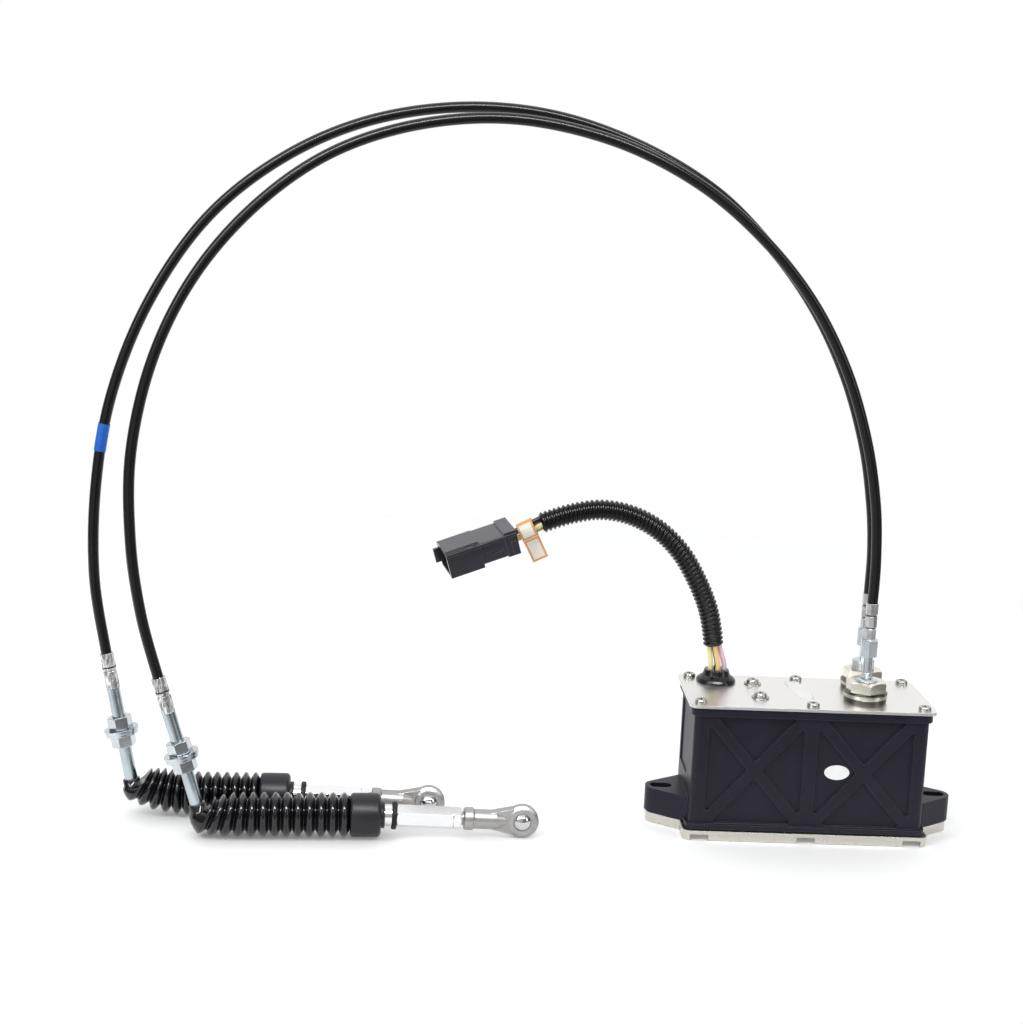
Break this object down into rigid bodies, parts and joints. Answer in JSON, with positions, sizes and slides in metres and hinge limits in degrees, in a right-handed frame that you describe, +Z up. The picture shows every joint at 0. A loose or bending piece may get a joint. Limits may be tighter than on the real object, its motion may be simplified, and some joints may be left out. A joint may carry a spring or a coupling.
{
  "type": "engine governor actuator",
  "caption": "Ribbed motor box with bolt lugs, wiring lead and connector, driving push-pull control cables that end in bellows boots and ball rod ends.",
  "frame": {"origin": "centre of the box's underside, on the floor it stands on", "axes": "+X along the box to its right end, +Y from the ribbed front to the back, +Z up"},
  "size_m": [0.5407, 0.1023, 0.44],
  "materials": {
    "housing_black": "satin moulded",
    "lid_nickel": "satin nickel plate",
    "tray_nickel": "warm nickel plate",
    "seal_rubber": "matte",
    "screw_steel": "plated",
    "label_white": "blank",
    "grommet_rubber": "satin",
    "wire_yellow": "insulation",
    "wire_orange": "insulation",
    "wire_pink": "insulation",
    "wire_black": "insulation",
    "loom_black": "ribbed",
    "connector_black": "satin moulded",
    "wedge_orange": "moulded",
    "contact_brass": "plated",
    "tag_cream": "blank, bordered",
    "bracket_steel": "plated",
    "motor_steel": "drawn can",
    "gear_brass": "machined",
    "gear_plastic": "moulded",
    "shaft_steel": "ground",
    "drum_dark": "moulded",
    "bush_bronze": "sintered bronze",
    "sensor_green": "moulded",
    "core_steel": "stranded wire",
    "gland_zinc": "bluish zinc plate",
    "gland_nut_nickel": "warm plate",
    "ferrule_steel": "crimped",
    "cable_black": "extruded jacket",
    "tape_blue": "tape",
    "tube_zinc": "bluish zinc plate",
    "boot_black": "gloss bellows",
    "bar_bright": "bright drawn",
    "rod_end_cast": "satin cast",
    "ball_chrome": "polished"
  },
  "bodies": {
    "actuator": {"bottom_tray": "tray_nickel", "tray_gasket": "seal_rubber", "housing": "housing_black", "lid_gasket": "seal_rubber", "lid": "lid_nickel", "lid_screws": "screw_steel", "bracket_screws": "screw_steel", "tray_screws": "screw_steel", "lid_label": "label_white", "oval_label": "label_white", "grommet": "grommet_rubber", "wire_yellow": "wire_yellow", "wire_orange": "wire_orange", "wire_pink": "wire_pink", "wire_black": "wire_black", "loom": "loom_black", "connector_body": "connector_black", "connector_wedge": "wedge_orange", "connector_pins": "contact_brass", "tag": "tag_cream", "motor_bracket": "bracket_steel", "gearmotor": "motor_steel", "bearing_bracket": "bracket_steel", "shaft_bushes": "bush_bronze", "sensor_case": "sensor_green", "mechanism_screws": "screw_steel", "front_drum_wire": "core_steel", "rear_drum_wire": "core_steel", "gland_locknuts": "gland_nut_nickel", "gland_washers": "gland_nut_nickel", "gland_nuts": "gland_nut_nickel", "cable_glands": "gland_zinc", "inlet_ferrules": "ferrule_steel", "outlet_ferrules": "ferrule_steel", "front_cable": "cable_black", "rear_cable": "cable_black", "marker_tape": "tape_blue", "outlet_tubes": "tube_zinc", "outlet_nuts": "tube_zinc", "outlet_washers": "tube_zinc", "front_boot": "boot_black", "rear_boot": "boot_black", "front_core_wire": "core_steel", "rear_core_wire": "core_steel"},
    "drum": {"drum_shaft": "shaft_steel", "drum_gear": "gear_plastic", "cable_drum": "drum_dark", "sensor_rotor": "shaft_steel"},
    "pinion": {"drive_pinion": "gear_brass"},
    "front_rod": {"front_coupler": "bar_bright", "front_wiper": "seal_rubber", "front_jam_nut": "bar_bright", "front_rod_end": "rod_end_cast"},
    "rear_rod": {"rear_coupler": "bar_bright", "rear_wiper": "seal_rubber", "rear_jam_nut": "bar_bright", "rear_rod_end": "rod_end_cast"},
    "front_ball": {"front_ball_stud": "ball_chrome"},
    "rear_ball": {"rear_ball_stud": "ball_chrome"}
  },
  "joints": [
    {"name": "drum_turn", "type": "hinge", "parent": "actuator", "child": "drum", "pos_m": [0.03, 0.003, 0.044], "axis": [1, 0, 0], "range_deg": [-65, 65], "deforming": ["front_drum_wire", "rear_drum_wire"]},
    {"name": "pinion_turn", "type": "hinge", "parent": "actuator", "child": "pinion", "pos_m": [0.005, -0.01117, 0.0245], "axis": [1, 0, 0], "range_deg": [-260, 260]},
    {"name": "front_rod_slide", "type": "slide", "parent": "actuator", "child": "front_rod", "axis": [0.9971, 0.0767, 0], "range_m": [-0.0159, 0.0159], "deforming": ["front_boot", "front_core_wire"]},
    {"name": "rear_rod_slide", "type": "slide", "parent": "actuator", "child": "rear_rod", "axis": [0.9989, 0.0471, 0], "range_m": [-0.0159, 0.0159], "deforming": ["rear_boot", "rear_core_wire"]},
    {"name": "front_ball_turn", "type": "hinge", "parent": "front_rod", "child": "front_ball", "pos_m": [-0.17586, -0.03914, 0.0102], "axis": [-0.0767, 0.9971, 0], "continuous": true},
    {"name": "rear_ball_turn", "type": "hinge", "parent": "rear_rod", "child": "rear_ball", "pos_m": [-0.23389, -0.01061, 0.0102], "axis": [-0.0471, 0.9989, 0], "continuous": true}
  ],
  "couplings": [
    {"joint": "pinion_turn", "follows": "drum_turn", "ratio": -4},
    {"joint": "front_rod_slide", "follows": "drum_turn", "m_per_rad": -0.014},
    {"joint": "rear_rod_slide", "follows": "drum_turn", "m_per_rad": 0.014}
  ]
}
